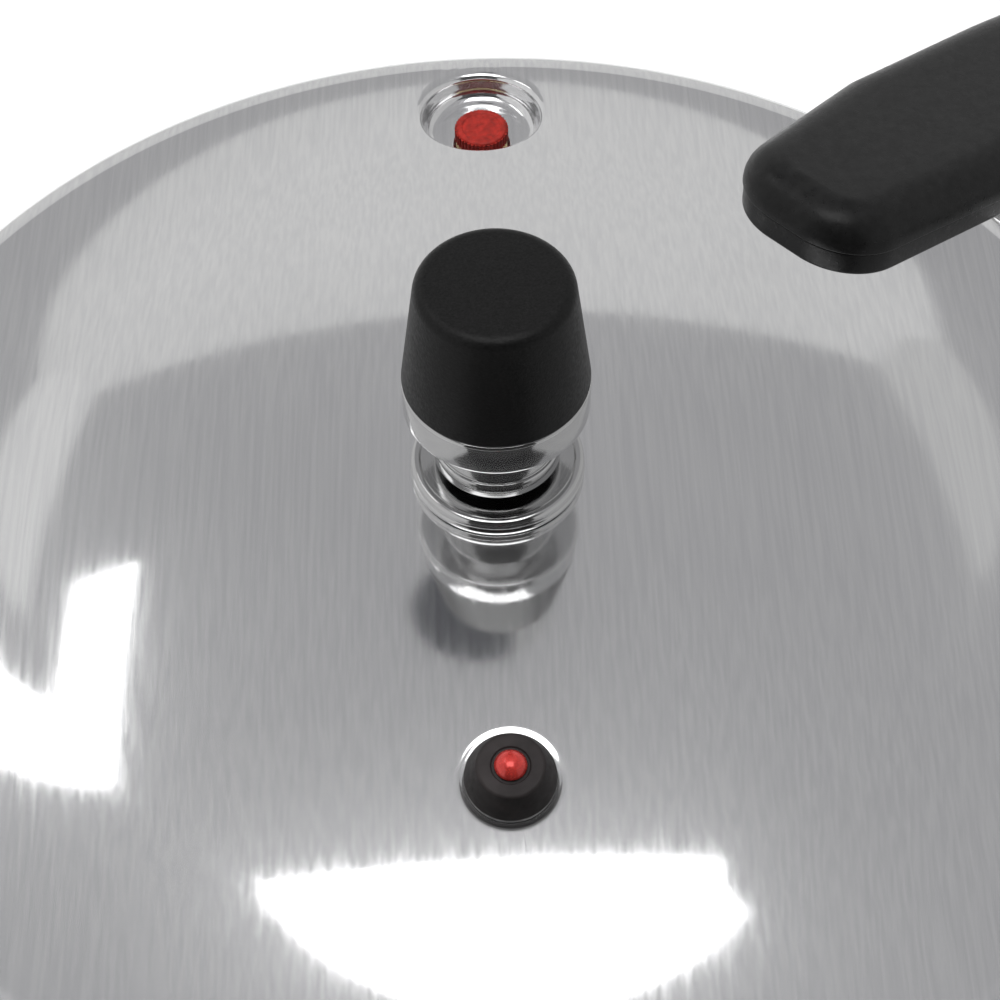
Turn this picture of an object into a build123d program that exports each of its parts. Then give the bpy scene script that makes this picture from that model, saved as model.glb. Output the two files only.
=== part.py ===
"""Stovetop pressure cooker with a turning, lift-off lid.

Millimetres, +Z up, origin at the centre of the pot's base.

The pot's long handle points along +X. The lid is drawn open: set down on the rim,
not yet turned under its lugs.
Lid parts are drawn with the lid's handle along +X and turned as one by lid_open_angle at the end.
"""
import os
from math import asin, cos, degrees, sin, sqrt

from build123d import *

os.makedirs("parts", exist_ok=True)

# Sheet metal and clearances
sheet = 2.5
running_gap = 0.6
seat_gap = 0.3
shaft_gap = 0.08
screw_gap = 0.05

# Pot
pot_inner_radius = 107.0
pot_height = 130.0
pot_base_thickness = 4.0
pot_corner_radius = 14.0
pot_radius = pot_inner_radius + sheet

# Bayonet closure
lug_count = 6
lug_pitch = 360.0 / lug_count
lug_arc = 0.4 * lug_pitch
lid_open_angle = lug_pitch / 2
lug_thickness = 3.0
lug_reach = 5.0
lug_side_gap = 1.0
rim_width = 2.5
rim_radius = pot_radius + rim_width
pot_lug_radius = rim_radius + lug_reach

# Lid
lid_inner_radius = pot_lug_radius + lug_side_gap
lid_radius = lid_inner_radius + sheet
shoulder_radius = 8.0
crown_sphere_radius = 355.0
flare_width = 32.0
ledge_radius = lid_radius - shoulder_radius
crown_edge_radius = ledge_radius - flare_width
crown_edge_slope = asin(crown_edge_radius / crown_sphere_radius)
blend_sphere_radius = (ledge_radius - crown_edge_radius) / sin(crown_edge_slope)
crown_rise = (crown_sphere_radius + blend_sphere_radius) * (1 - cos(crown_edge_slope))

# Dish pressed into the lid for the safety button
dish_radius = 11.5
dish_depth = 5.6
dish_rim_round = 0.28 * dish_depth
dish_corner_round = 0.5 * dish_depth
dish_edge_margin = 8.7
dish_centre_radius = lid_radius - dish_edge_margin - dish_radius - dish_rim_round
valve_line_angle = 46.5

# Gasket
gasket_height = 6.5
gasket_inset = 3.5
gasket_inner_radius = rim_radius - gasket_inset
gasket_side_gap = 0.4
gasket_radius = lid_inner_radius - gasket_side_gap
gasket_bevel = 0.4 * gasket_height
gasket_lip_bevel = 1.0
gasket_bottom = pot_height + seat_gap
gasket_top = gasket_bottom + gasket_height
dish_gasket_gap = 0.4

ledge_top = gasket_top + dish_gasket_gap + sheet + dish_depth
apex = ledge_top + crown_rise
pot_lug_bottom = pot_height - lug_thickness
lid_lug_top = pot_lug_bottom - running_gap
skirt_bottom = lid_lug_top - lug_thickness
lid_lug_inner_radius = rim_radius + running_gap

# Vent pipe
vent_flange_radius = 14.4
vent_flange_height = 3.1
vent_flange_round = 1.3
vent_pipe_radius = 4.5
vent_pipe_top = 17.0
vent_bore_radius = 1.3
vent_seat_radius = 2.9
vent_thread_radius = 5.0
vent_thread_length = 14.0
vent_nut_across_flats = 17.0
vent_nut_height = 5.0
vent_washer_radius = 10.0
vent_washer_height = 2.0

# Pressure weight
weight_radius = 15.0
weight_top_radius = 12.3
weight_neck_radius = 10.4
weight_bottom = 4.6
weight_step_height = 3.3
weight_step = 0.6
weight_collar_bottom = 16.4
weight_collar_height = 6.6
weight_cap_height = 21.2
weight_cap_round = 2.2
weight_bore_gap = 1.5
weight_bore_radius = vent_pipe_radius + weight_bore_gap
weight_collar_round = 0.8
weight_spigot_radius = 8.5
weight_spigot_height = 13.0
weight_roof_gap = 1.0
needle_radius = 2.4
needle_length = 9.0
needle_point_radius = 0.4
needle_point_height = 3.0
needle_point_gap = 0.6

# Rubber safety valve
valve_centre_radius = 56.7
valve_base_radius = 7.1
valve_top_radius = 5.1
valve_height = 5.1
valve_neck_radius = 4.6
valve_inner_flange_radius = 7.6
valve_inner_flange_height = 4.0
valve_pin_radius = 1.5
valve_pin_head_radius = 2.5
valve_pin_head_height = 1.7
valve_pin_tail_height = 2.0
valve_pin_travel = 2.0
valve_base_edge = 0.6
valve_tail_step = 1.0
valve_pin_head_gap = 0.1

# Safety button in the dish
button_radius = 5.3
button_height = 3.0
button_floor_gap = 1.0
button_stem_radius = 1.6
button_offset = 1.5
button_edge_round = 0.3
bush_radius = 3.5
bush_rim_radius = 4.6
bush_rim_height = 0.6
bush_length = 12.0
bush_nut_across_flats = 11.0
bush_nut_height = 4.0
bush_washer_radius = 6.0
bush_washer_height = 1.2
spring_wire_radius = 0.4
spring_length = 8.0
spring_turns = 4
clip_radius = 3.4
clip_height = 1.0

# Lid handle: heights are taken from the top of the lid's crown
handle_overlap = 48.0
handle_reach = 141.5
handle_shoulder_inset = 5.5
handle_crest_setback = 17.5
handle_bend_reach = 29.5
handle_grip_reach = 57.5
handle_tip_radius = lid_radius - handle_overlap
handle_end_radius = lid_radius + handle_reach
handle_width = 39.0
handle_nose_width = 0.85 * handle_width
handle_grip_width = 27.0
handle_widest_radius = lid_radius - handle_shoulder_inset
handle_nose_corner = 13.0
handle_grip_radius = lid_radius + handle_grip_reach
handle_tip_rise = 11.4
handle_crest_radius = handle_tip_radius + handle_crest_setback
handle_crest_rise = 7.3
handle_rim_rise = 0.9
handle_bend_radius = lid_radius + handle_bend_reach
handle_bend_drop = 6.0
handle_grip_drop = 12.5
handle_end_drop = 11.0
upper_shell_depth = 8.0
lower_lip_depth = 5.5
lower_shell_inset = 0.3
handle_cheek_length = 14.0
handle_lid_gap = 1.2
shell_round = 4.0
lid_shell_round = 0.75 * upper_shell_depth
stack_gap = 1.5

# Brackets, rivets and screws
bracket_thickness = 2.5
bracket_width = 16.0
saddle_arc = 16.0
saddle_edge_margin = 1.0
drill_depth = 15.0
rivet_radius = 1.6
rivet_gap = 0.03
rivet_head_radius = 3.0
rivet_head_height = 1.4
screw_radius = 2.0
screw_head_radius = 4.0
screw_head_height = 2.4
screw_slot_width = 1.0
screw_bite = 6.0
screw_recess = 1.0

# Pot handle and helper handle
pot_handle_height = 22.0
pot_handle_drop = 2.4
pot_handle_top = skirt_bottom - pot_handle_drop
pot_screw_spacing = 40.0
lid_screw_spacing = 22.0
screw_end_margin = 10.0
helper_hole_margin = 4.0
pot_handle_wall_gap = 4.0
helper_reach = 38.0
helper_width = 84.0
helper_height = 17.0
helper_hole_width = 20.0
helper_hole_reach = 12.0
helper_bar_thickness = 13.0
helper_corner_radius = 14.0
lid_handle_bottom = pot_handle_top + stack_gap


def turned(profile_points):
    """A closed outline of radius and height points, turned about Z."""
    return revolve(Plane.XZ * make_face(Polyline(*profile_points, close=True)), Axis.Z)


def ring(inner, outer, bottom, height):
    return Pos(0, 0, bottom + height / 2) * (Cylinder(outer, height) - Cylinder(inner, height))


def ring_sector(inner, outer, bottom, height, arc, middle=0.0):
    """A piece of a flat ring, arc degrees long, centred on the angle middle."""
    start = middle - arc / 2
    outer_arc = CenterArc((0, 0), outer, start, arc)
    inner_arc = CenterArc((0, 0), inner, start, arc)
    sides = [Line(outer_arc @ 0, inner_arc @ 0), Line(outer_arc @ 1, inner_arc @ 1)]
    return Pos(0, 0, bottom) * extrude(make_face(Curve() + [outer_arc, inner_arc] + sides), height)


def hex_nut(across_flats, height, bore_radius, bottom):
    prism = extrude(RegularPolygon(across_flats / 2, 6, major_radius=False), height)
    return Pos(0, 0, bottom) * (prism - Pos(0, 0, height / 2) * Cylinder(bore_radius, height))


def screw(head_bottom, tip):
    """A pan-head screw driven upward, with a slot across its head."""
    head = Pos(0, 0, head_bottom + screw_head_height / 2) * Cylinder(screw_head_radius, screw_head_height)
    shank = Pos(0, 0, (head_bottom + tip) / 2) * Cylinder(screw_radius, tip - head_bottom)
    slot = Pos(0, 0, head_bottom) * Box(2 * screw_head_radius, screw_slot_width, screw_head_height)
    return head + shank - slot


def screw_hole(face, head_bottom, tip):
    """The recess, head room and shank hole for a screw entered through a lower face."""
    head_top = head_bottom + screw_head_height
    head_room = Pos(0, 0, (face + head_top) / 2) * Cylinder(screw_head_radius + screw_gap, head_top - face)
    shank_room = Pos(0, 0, (face + tip) / 2) * Cylinder(screw_radius + screw_gap, tip - face)
    return head_room + shank_room


def saddle_bracket(wall_radius, saddle_bottom, saddle_height, tongue_bottom, tongue_end, holes):
    """A strap: a curved plate against a round wall, and a flat tongue that runs out into the handle."""
    outside = wall_radius + bracket_thickness
    saddle = ring_sector(wall_radius, outside, saddle_bottom, saddle_height, saddle_arc)
    tongue_start = wall_radius + bracket_thickness / 2
    tongue = Pos((tongue_start + tongue_end) / 2, 0, tongue_bottom + bracket_thickness / 2) * Box(
        tongue_end - tongue_start, bracket_width, bracket_thickness
    )
    strap = saddle + tongue
    for place in holes:
        strap -= Pos(place, 0, tongue_bottom) * Cylinder(screw_radius + screw_gap, 4 * bracket_thickness)
    return strap


def rivet_angles(wall_radius):
    """Rivets stand in the saddle midway between the tongue's edge and the saddle's end."""
    tongue_half_angle = degrees(asin(bracket_width / 2 / wall_radius))
    middle = (tongue_half_angle + saddle_arc / 2) / 2
    return (-middle, middle)


def rivets(wall_radius, height):
    """Rivets through a round wall and a bracket's saddle, flush inside and headed outside."""
    inner = wall_radius - sheet + rivet_gap
    outer = wall_radius + bracket_thickness
    shank = Pos(0, 0, (inner + outer) / 2) * Cylinder(rivet_radius, outer - inner)
    head = Pos(0, 0, outer + rivet_head_height / 2) * Cylinder(rivet_head_radius, rivet_head_height)
    one = Pos(0, 0, height) * Rot(0, 90, 0) * (shank + head)
    return Compound(children=[Rot(0, 0, angle) * one for angle in rivet_angles(wall_radius)])


def rivet_holes(wall_radius, height):
    drill = Cylinder(rivet_radius + rivet_gap, drill_depth)
    hole = Pos(0, 0, height) * Rot(0, 90, 0) * Pos(0, 0, wall_radius) * drill
    return Part() + [Rot(0, 0, angle) * hole for angle in rivet_angles(wall_radius)]


# Pot and its handles --------------------------------------------------------------------------

pot_bracket_bottom = pot_handle_top - pot_handle_height / 2 - bracket_thickness / 2
pot_saddle_height = 18.0
pot_saddle_bottom = pot_bracket_bottom + bracket_thickness / 2 - pot_saddle_height / 2
pot_rivet_height = pot_saddle_bottom + pot_saddle_height / 2
pot_first_screw = handle_bend_radius + 3.0
pot_screw_places = (pot_first_screw, pot_first_screw + pot_screw_spacing)
pot_tongue_end = pot_screw_places[-1] + screw_end_margin
helper_screw_places = (pot_radius + screw_end_margin,)
helper_tongue_end = helper_screw_places[-1] + 2 * screw_head_radius
helper_hole_offset = bracket_width / 2 + helper_hole_margin + helper_hole_width / 2


def pot_profile():
    """Half of the pot's wall: base, rounded corner, straight side and the narrow rim at the top."""
    inside_corner = pot_corner_radius - sheet
    base = Line((0, 0), (pot_radius - pot_corner_radius, 0))
    corner = CenterArc((pot_radius - pot_corner_radius, pot_corner_radius), pot_corner_radius, 270, 90)
    side_top = (pot_radius, pot_height - lug_thickness)
    rim = Polyline(
        side_top,
        (rim_radius, pot_height - lug_thickness),
        (rim_radius, pot_height),
        (pot_inner_radius, pot_height),
        (pot_inner_radius, pot_base_thickness + inside_corner),
    )
    inner_corner = CenterArc(
        (pot_inner_radius - inside_corner, pot_base_thickness + inside_corner), inside_corner, 270, 90
    )
    floor = Line(inner_corner @ 0, (0, pot_base_thickness))
    axis = Line((0, pot_base_thickness), (0, 0))
    return Curve() + [base, corner, Line(corner @ 1, side_top), rim, inner_corner, floor, axis]


def pot_body():
    pot = revolve(Plane.XZ * make_face(pot_profile()), Axis.Z)
    for number in range(lug_count):
        pot += ring_sector(
            pot_radius, pot_lug_radius, pot_lug_bottom, lug_thickness, lug_arc, number * lug_pitch
        )
    holes = rivet_holes(pot_radius, pot_rivet_height)
    return pot - holes - Rot(0, 0, 180) * holes


def handle_outline(grow=0.0):
    """The long handles seen from above: a rounded nose, a broad shoulder and a slimmer grip."""
    nose_offset = handle_nose_width / 2 - handle_nose_corner
    nose = [
        Pos(handle_tip_radius + handle_nose_corner, side * nose_offset) * Circle(handle_nose_corner + grow)
        for side in (-1, 1)
    ]
    shoulder = Pos(handle_widest_radius, 0) * Circle(handle_width / 2 + grow)
    tail = Pos(handle_end_radius - handle_grip_width / 2, 0) * Circle(handle_grip_width / 2 + grow)
    return make_hull(nose[0].edges() + nose[1].edges() + shoulder.edges() + tail.edges())


def pot_handle_block(bottom, height):
    """One half of the pot's handle: the grip outline, cut back clear of the pot's wall."""
    return extrude(Pos(0, 0, bottom) * handle_outline(), height)


def pot_wall_room():
    return Cylinder(pot_radius + bracket_thickness + pot_handle_wall_gap, 4 * pot_height)


def pot_tongue_room():
    length = pot_tongue_end
    return Pos(length / 2, 0, pot_bracket_bottom + bracket_thickness / 2) * Box(
        length, bracket_width, bracket_thickness
    )


def pot_handle_screw_span():
    bottom = pot_handle_top - pot_handle_height + screw_recess
    return bottom, pot_bracket_bottom + bracket_thickness + screw_bite


def pot_handle_upper():
    parting = pot_bracket_bottom + bracket_thickness
    block = pot_handle_block(parting, pot_handle_top - parting)
    block = fillet(block.faces().sort_by(Axis.Z)[-1].edges(), shell_round)
    head, tip = pot_handle_screw_span()
    for place in pot_screw_places:
        block -= Pos(place, 0, 0) * screw_hole(head, head, tip)
    return block - pot_wall_room()


def pot_handle_lower():
    bottom = pot_handle_top - pot_handle_height
    parting = pot_bracket_bottom + bracket_thickness
    block = pot_handle_block(bottom, parting - bottom)
    block = fillet(block.faces().sort_by(Axis.Z)[0].edges(), shell_round)
    head, tip = pot_handle_screw_span()
    for place in pot_screw_places:
        block -= Pos(place, 0, 0) * screw_hole(bottom, head, tip)
    return block - pot_tongue_room() - pot_wall_room()


def pot_bracket():
    strap = saddle_bracket(
        pot_radius, pot_saddle_bottom, pot_saddle_height, pot_bracket_bottom, pot_tongue_end, pot_screw_places
    )
    return strap - rivet_holes(pot_radius, pot_rivet_height)


def pot_handle_screws():
    head, tip = pot_handle_screw_span()
    return Compound(children=[Pos(place, 0, 0) * screw(head, tip) for place in pot_screw_places])


def helper_bracket():
    strap = saddle_bracket(
        pot_radius,
        pot_saddle_bottom,
        pot_saddle_height,
        pot_bracket_bottom,
        helper_tongue_end,
        helper_screw_places,
    )
    return Rot(0, 0, 180) * (strap - rivet_holes(pot_radius, pot_rivet_height))


def helper_screw_span():
    bottom = pot_bracket_bottom + bracket_thickness / 2 - helper_height / 2
    return bottom + screw_recess, pot_bracket_bottom + bracket_thickness + screw_bite / 2


def helper_handle():
    """A short loop grip opposite the long handle, with a finger hole behind its bar."""
    inner = pot_radius + bracket_thickness + pot_handle_wall_gap / 2
    outer = pot_radius + helper_reach
    middle = pot_bracket_bottom + bracket_thickness / 2
    plan = Pos((inner + outer) / 2, 0) * Rectangle(outer - inner, helper_width)
    far_corners = plan.vertices().group_by(Axis.X)[-1]
    plan = fillet(far_corners, helper_corner_radius)
    bar = extrude(Pos(0, 0, middle - helper_height / 2) * plan, helper_height)
    bar -= Cylinder(inner, 4 * pot_height)
    bar = fillet(bar.edges().group_by(Axis.Z)[-1] + bar.edges().group_by(Axis.Z)[0], shell_round)
    hole_middle = outer - helper_bar_thickness - helper_hole_reach / 2
    hole = Box(helper_hole_reach, helper_hole_width, 2 * helper_height)
    for side in (-1, 1):
        bar -= Pos(hole_middle, side * helper_hole_offset, middle) * hole
    tongue_room = Pos(helper_tongue_end / 2, 0, middle) * Box(
        helper_tongue_end, bracket_width, bracket_thickness
    )
    head, tip = helper_screw_span()
    bar -= tongue_room
    for place in helper_screw_places:
        bar -= Pos(place, 0, 0) * screw_hole(middle - helper_height / 2, head, tip)
    return Rot(0, 0, 180) * bar


def helper_handle_screw():
    head, tip = helper_screw_span()
    return Rot(0, 0, 180) * Pos(helper_screw_places[0], 0, 0) * screw(head, tip)


# Lid ------------------------------------------------------------------------------------------

dish_floor = ledge_top - dish_depth
dish_place = Rot(0, 0, valve_line_angle) * Pos(dish_centre_radius, 0, 0)
button_place = Rot(0, 0, valve_line_angle) * Pos(dish_centre_radius - button_offset, 0, dish_floor)
valve_slope = asin(valve_centre_radius / crown_sphere_radius)
valve_place = (
    Rot(0, 0, valve_line_angle + 180)
    * Pos(0, 0, apex - crown_sphere_radius)
    * Rot(0, degrees(valve_slope), 0)
    * Pos(0, 0, crown_sphere_radius)
)
lid_saddle_bottom = skirt_bottom + saddle_edge_margin
lid_saddle_height = 10.0
lid_rivet_height = lid_saddle_bottom + lid_saddle_height / 2
lid_tongue_bottom = lid_rivet_height - bracket_thickness / 2
lid_first_screw = handle_grip_radius + 8.0
lid_screw_places = (lid_first_screw, lid_first_screw + lid_screw_spacing)
lid_tongue_end = lid_screw_places[-1] + screw_end_margin


def filled_lid(depth, bottom):
    """Everything under the lid's outer surface moved inward by depth, down to the height bottom."""
    slope = degrees(crown_edge_slope)
    crown = CenterArc((0, apex - crown_sphere_radius), crown_sphere_radius - depth, 90 - slope, slope)
    blend_centre = (ledge_radius, ledge_top + blend_sphere_radius)
    blend = CenterArc(blend_centre, blend_sphere_radius + depth, 270 - slope, slope)
    shoulder = CenterArc((ledge_radius, ledge_top - shoulder_radius), shoulder_radius - depth, 0, 90)
    side = Line(shoulder @ 0, (lid_radius - depth, bottom))
    base = Line(side @ 1, (0, bottom))
    axis = Line((0, bottom), (0, apex - depth))
    return revolve(Plane.XZ * make_face(Curve() + [crown, blend, shoulder, side, base, axis]), Axis.Z)


def lid_shell():
    outside = filled_lid(0, skirt_bottom)
    shell = outside - filled_lid(sheet, skirt_bottom - sheet)
    boss_bottom = dish_floor - sheet
    boss_height = apex - boss_bottom
    boss = Pos(0, 0, boss_bottom + boss_height / 2) * Cylinder(dish_radius + sheet, boss_height)
    boss = fillet(boss.edges().group_by(Axis.Z)[0], dish_corner_round + sheet)
    shell += (dish_place * boss) & outside
    pocket = Pos(0, 0, dish_floor + boss_height / 2) * Cylinder(dish_radius, boss_height)
    shell -= dish_place * fillet(pocket.edges().group_by(Axis.Z)[0], dish_corner_round)
    shell = fillet([edge for edge in shell.edges() if is_dish_rim(edge)], dish_rim_round)
    for number in range(lug_count):
        lug_root = lid_inner_radius + sheet / 2
        shell += ring_sector(
            lid_lug_inner_radius, lug_root, skirt_bottom, lug_thickness, lug_arc, number * lug_pitch
        )
    shell -= Pos(0, 0, apex) * Cylinder(vent_thread_radius + screw_gap, 4 * sheet)
    shell -= valve_place * Cylinder(valve_neck_radius + screw_gap, 4 * sheet)
    shell -= button_place * Cylinder(bush_radius + screw_gap, 4 * sheet)
    return shell - rivet_holes(lid_radius, lid_rivet_height)


def is_dish_rim(edge):
    """True for the sharp edges where the dish's wall meets the lid's outer surface."""
    box = edge.bounding_box()
    middle = box.center() - dish_place.position
    level = box.min.Z > dish_floor + dish_corner_round + 0.1
    near = sqrt(middle.X**2 + middle.Y**2) < dish_radius
    return level and near and box.size.X < 2.2 * dish_radius


def lid_gasket():
    """A soft ring under the shoulder, with its upper outer corner cut back to follow the lid's curve."""
    return turned(
        [
            (gasket_inner_radius, gasket_bottom),
            (gasket_radius, gasket_bottom),
            (gasket_radius, gasket_top - gasket_bevel),
            (gasket_radius - gasket_bevel, gasket_top),
            (gasket_inner_radius + gasket_lip_bevel, gasket_top),
            (gasket_inner_radius, gasket_top - gasket_lip_bevel),
        ]
    )


def dome_cap(radius, height, bottom):
    """A shallow dome standing on a flat circle."""
    ball_radius = (radius**2 + height**2) / (2 * height)
    ball = Pos(0, 0, bottom + height - ball_radius) * Sphere(ball_radius)
    return ball & (Pos(0, 0, bottom + height / 2) * Cylinder(radius, height))


def vent_pipe():
    """The flanged pipe at the crown: a flat flange outside, a plain pipe above it and a thread below."""
    flange = Pos(0, 0, vent_flange_height / 2) * Cylinder(vent_flange_radius, vent_flange_height)
    flange = fillet(flange.edges().group_by(Axis.Z)[-1], vent_flange_round)
    pipe = Pos(0, 0, vent_pipe_top / 2) * Cylinder(vent_pipe_radius, vent_pipe_top)
    thread = Pos(0, 0, -vent_thread_length / 2) * Cylinder(vent_thread_radius, vent_thread_length)
    bore = Cylinder(vent_bore_radius, 4 * vent_pipe_top)
    seat_depth = vent_seat_radius - vent_bore_radius
    seat = Pos(0, 0, vent_pipe_top - seat_depth / 2) * Cone(vent_bore_radius, vent_seat_radius, seat_depth)
    return Pos(0, 0, apex) * (flange + pipe + thread - bore - seat)


def underside_drop(radius):
    """How far the crown's underside lies below the apex at a radius."""
    inner_sphere = crown_sphere_radius - sheet
    return crown_sphere_radius - sqrt(inner_sphere**2 - radius**2)


def vent_washer():
    top = apex - underside_drop(vent_washer_radius)
    bottom = top - vent_washer_height
    return ring(vent_thread_radius + screw_gap, vent_washer_radius, bottom, vent_washer_height)


def vent_nut():
    top = apex - underside_drop(vent_washer_radius) - vent_washer_height
    bottom = top - vent_nut_height
    return hex_nut(vent_nut_across_flats, vent_nut_height, vent_thread_radius + screw_gap, bottom)


weight_collar_top = weight_collar_bottom + weight_collar_height
weight_spigot_top = weight_collar_top + weight_spigot_height
weight_roof = vent_pipe_top + weight_roof_gap


def weight_body():
    """The plated weight: a stepped neck around the vent pipe, a broad collar and a spigot inside the cap."""
    profile = [
        (0, weight_bottom),
        (weight_neck_radius, weight_bottom),
        (weight_neck_radius, weight_bottom + weight_step_height),
        (weight_neck_radius - weight_step, weight_bottom + weight_step_height),
        (weight_neck_radius - weight_step, weight_collar_bottom),
        (weight_radius, weight_collar_bottom),
        (weight_radius, weight_collar_top),
        (weight_spigot_radius, weight_collar_top),
        (weight_spigot_radius, weight_spigot_top),
        (0, weight_spigot_top),
    ]
    body = turned(profile)
    rims = [edge for edge in body.edges() if abs(edge.bounding_box().size.X - 2 * weight_radius) < 1e-3]
    body = fillet([edge for edge in rims if edge.geom_type == GeomType.CIRCLE], weight_collar_round)
    bore = Pos(0, 0, weight_roof / 2) * Cylinder(weight_bore_radius, weight_roof)
    socket = Pos(0, 0, weight_roof) * Cylinder(needle_radius + screw_gap, 2 * needle_length)
    return Pos(0, 0, apex) * (body - bore - socket)


def weight_cap():
    """The black moulded cap, hollow inside, seated on the collar and held by the spigot."""
    cone = Cone(weight_radius, weight_top_radius, weight_cap_height)
    cap = Pos(0, 0, weight_collar_top + weight_cap_height / 2) * cone
    cap = fillet(cap.edges().group_by(Axis.Z)[-1], weight_cap_round)
    socket = Pos(0, 0, weight_collar_top + weight_spigot_height / 2) * Cylinder(
        weight_spigot_radius + screw_gap, weight_spigot_height
    )
    return Pos(0, 0, apex) * (cap - socket)


def weight_needle():
    """The pointed pin pressed into the weight's roof; its cone closes the vent pipe."""
    shank_bottom = vent_pipe_top + needle_point_gap
    shank = Pos(0, 0, shank_bottom + needle_length / 2) * Cylinder(needle_radius, needle_length)
    point = Pos(0, 0, shank_bottom - needle_point_height / 2) * Cone(
        needle_point_radius, needle_radius, needle_point_height
    )
    return Pos(0, 0, apex) * (shank + point)


def valve_rubber():
    """A grommet-like plug: a tapered button outside, a neck in the lid's hole and a flange inside."""
    bore = valve_pin_radius + shaft_gap
    inner_face = -sheet - underside_slack()
    tail = inner_face - valve_inner_flange_height
    plug = turned(
        [
            (bore, tail),
            (valve_neck_radius + valve_tail_step, tail),
            (valve_inner_flange_radius, inner_face),
            (valve_neck_radius, inner_face),
            (valve_neck_radius, 0),
            (valve_base_radius, 0),
            (valve_base_radius, valve_base_edge),
            (valve_top_radius, valve_height),
            (bore, valve_height),
        ]
    )
    return valve_place * plug


def underside_slack():
    """Room for the crown's curve under the flat face of the valve's inner flange."""
    return valve_inner_flange_radius**2 / (2 * crown_sphere_radius) + screw_gap


def valve_pin():
    """The red indicator pin: a domed head, a plain shank and a wider tail that stops its travel."""
    head_bottom = valve_height + valve_pin_head_gap
    tail_top = -sheet - underside_slack() - valve_inner_flange_height - valve_pin_travel - seat_gap
    shank = Pos(0, 0, (head_bottom + tail_top) / 2) * Cylinder(valve_pin_radius, head_bottom - tail_top)
    tail_middle = tail_top - valve_pin_tail_height / 2
    tail = Pos(0, 0, tail_middle) * Cylinder(valve_pin_head_radius, valve_pin_tail_height)
    return valve_place * (shank + dome_cap(valve_pin_head_radius, valve_pin_head_height, head_bottom) + tail)


def safety_bush():
    rim = Pos(0, 0, bush_rim_height / 2) * Cylinder(bush_rim_radius, bush_rim_height)
    barrel = Pos(0, 0, -bush_length / 2) * Cylinder(bush_radius, bush_length)
    return button_place * (rim + barrel - Cylinder(button_stem_radius + shaft_gap, 4 * bush_length))


def safety_washer():
    bottom = -sheet - bush_washer_height
    return button_place * ring(bush_radius + screw_gap, bush_washer_radius, bottom, bush_washer_height)


def safety_nut():
    bottom = -sheet - bush_washer_height - bush_nut_height
    return button_place * hex_nut(bush_nut_across_flats, bush_nut_height, bush_radius + screw_gap, bottom)


def safety_button():
    """The red disc on its stem, which runs down through the bush and the spring."""
    disc = Pos(0, 0, button_floor_gap + button_height / 2) * Cylinder(button_radius, button_height)
    disc = fillet(disc.edges().group_by(Axis.Z)[-1], button_edge_round)
    stem_end = -bush_length - spring_length - 2 * clip_height
    stem_middle = (button_floor_gap + stem_end) / 2
    stem = Pos(0, 0, stem_middle) * Cylinder(button_stem_radius, button_floor_gap - stem_end)
    return button_place * (disc + stem)


def safety_spring():
    """A coil spring around the stem, between the bush's end and the clip."""
    coil_radius = button_stem_radius + 2 * spring_wire_radius
    coil_height = spring_length - 2 * spring_wire_radius - 2 * screw_gap
    path = Helix(coil_height / spring_turns, coil_height, coil_radius)
    wire_section = Plane(origin=path @ 0, z_dir=path % 0) * Circle(spring_wire_radius)
    bottom = -bush_length - spring_length + spring_wire_radius + screw_gap
    return button_place * Pos(0, 0, bottom) * sweep(wire_section, path=path, is_frenet=True)


def safety_clip():
    top = -bush_length - spring_length
    return button_place * ring(button_stem_radius, clip_radius, top - clip_height, clip_height)


def handle_top_line(drop=0.0):
    """The side view of the lid handle's upper surface, lowered by drop."""
    return Spline(
        (handle_tip_radius - 2, apex + handle_tip_rise - drop),
        (handle_crest_radius, apex + handle_crest_rise - drop),
        (ledge_radius + 8, apex + handle_rim_rise - drop),
        (handle_bend_radius, apex - handle_bend_drop - drop),
        (handle_grip_radius, apex - handle_grip_drop - drop),
        (handle_grip_radius + 40, apex - handle_grip_drop - drop),
        (handle_end_radius + 2, apex - handle_end_drop - drop),
    )


def lid_handle_room():
    """The space the lid, the bracket's saddle and its rivets need inside the lid's handle."""
    saddle_radius = lid_radius + bracket_thickness + rivet_head_height + seat_gap
    saddle_top = lid_saddle_bottom + lid_saddle_height + saddle_edge_margin
    saddle_room = Pos(0, 0, saddle_top / 2) * Cylinder(saddle_radius, saddle_top)
    return filled_lid(-handle_lid_gap, 0) + saddle_room


def lid_handle_slice(upper_line, lower_line, grow):
    """The part of the lid's handle between two lines in the side view, within its outline from above."""
    ends = [Line(upper_line @ 0, lower_line @ 0), Line(upper_line @ 1, lower_line @ 1)]
    side = Plane.XZ * make_face(Curve() + [upper_line, lower_line] + ends)
    slab = Pos(0, handle_width, 0) * extrude(side, 2 * handle_width)
    return slab & extrude(handle_outline(grow), 2 * apex)


def lid_screw_span():
    tip = apex - handle_grip_drop - upper_shell_depth + screw_bite
    return lid_handle_bottom + screw_recess, tip


def lid_handle_upper():
    shell = lid_handle_slice(handle_top_line(), handle_top_line(upper_shell_depth), 0)
    top_face = max(shell.faces(), key=lambda face: face.normal_at().Z * face.area)
    shell = fillet(top_face.edges(), lid_shell_round)
    head, tip = lid_screw_span()
    for place in lid_screw_places:
        shell -= Pos(place, 0, 0) * screw_hole(head, head, tip)
    return shell - lid_handle_room()


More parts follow.
